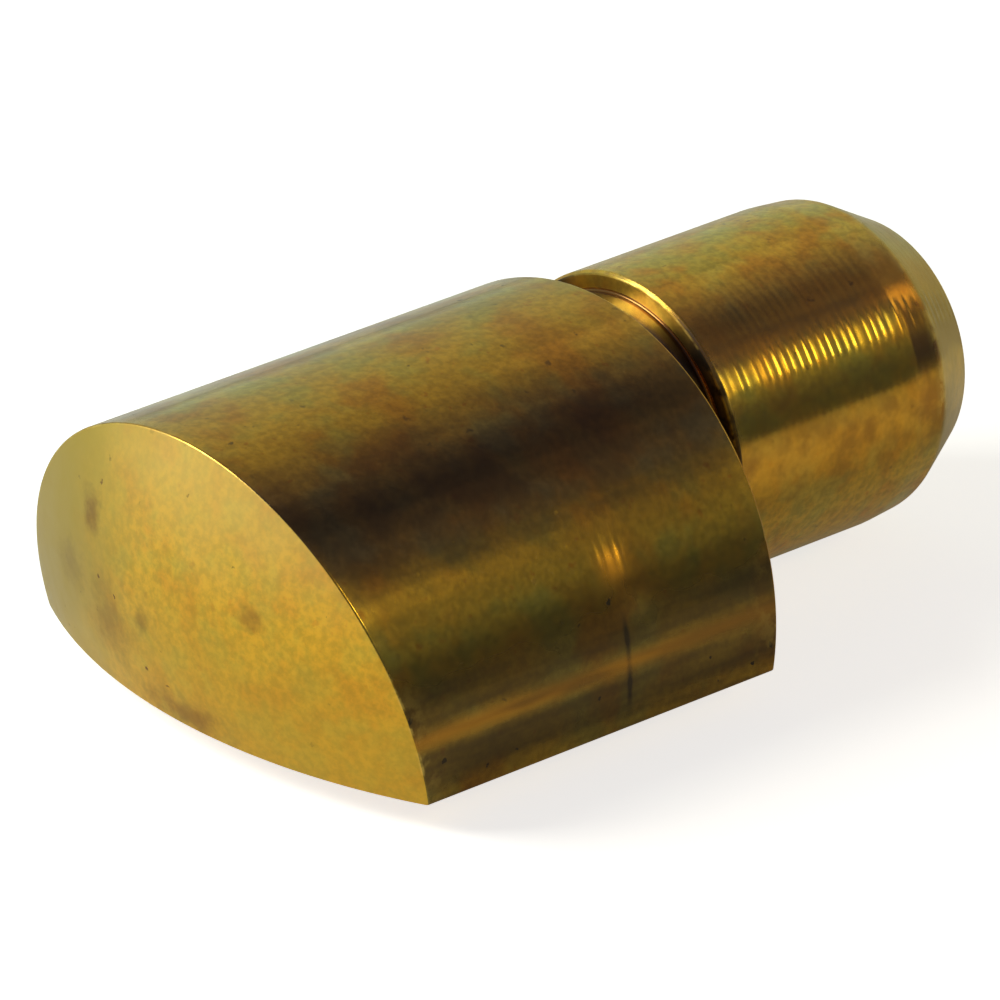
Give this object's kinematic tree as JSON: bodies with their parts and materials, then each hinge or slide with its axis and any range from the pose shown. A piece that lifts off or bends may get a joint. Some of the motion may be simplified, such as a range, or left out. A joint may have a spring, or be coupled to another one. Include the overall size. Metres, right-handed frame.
{
  "type": "shelf support pin",
  "caption": "Half-round head with a flat shelf seat and a domed face, joined by a relief groove to a round pin with a tapered end.",
  "frame": {"origin": "on the centre line, where the plane of the flat shelf seat meets the plane of the shoulder that stops against the cabinet's wall", "axes": "+X along the pin towards its tip and into the wall, +Z from the flat to the crown of the head (down, when the pin carries a shelf), +Y across the head by the right-hand rule"},
  "size_m": [0.0138, 0.008, 0.0048],
  "materials": {
    "brass": "satin"
  },
  "bodies": {
    "root": {"shelf_support_pin": "brass"}
  },
  "joints": []
}
